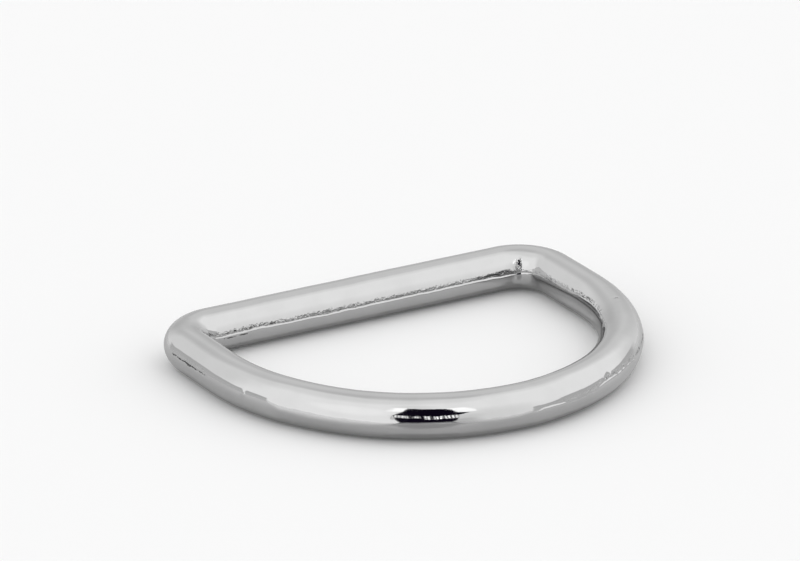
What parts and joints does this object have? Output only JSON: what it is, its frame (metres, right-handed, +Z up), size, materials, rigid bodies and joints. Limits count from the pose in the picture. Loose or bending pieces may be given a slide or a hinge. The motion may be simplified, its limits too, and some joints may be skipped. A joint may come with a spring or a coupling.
{
  "type": "d ring",
  "caption": "Closed D-shaped ring of round metal, cast in one piece, with a straight bar that a strap loops round and a half-round bow for a hook or clip.",
  "frame": {"origin": "under the middle of the ring's outline, on the surface that it lies on", "axes": "+Z up out of the ring's plane, +X along the straight bar, +Y from the bow towards the bar"},
  "size_m": [0.031, 0.0238, 0.003],
  "materials": {
    "plating": "bright nickel plating over cast zinc alloy, lightly rippled, with the mould's parting line along its inner and outer side, pits beside it and a rough trimmed gate"
  },
  "bodies": {
    "root": {"ring": "plating"}
  },
  "joints": []
}
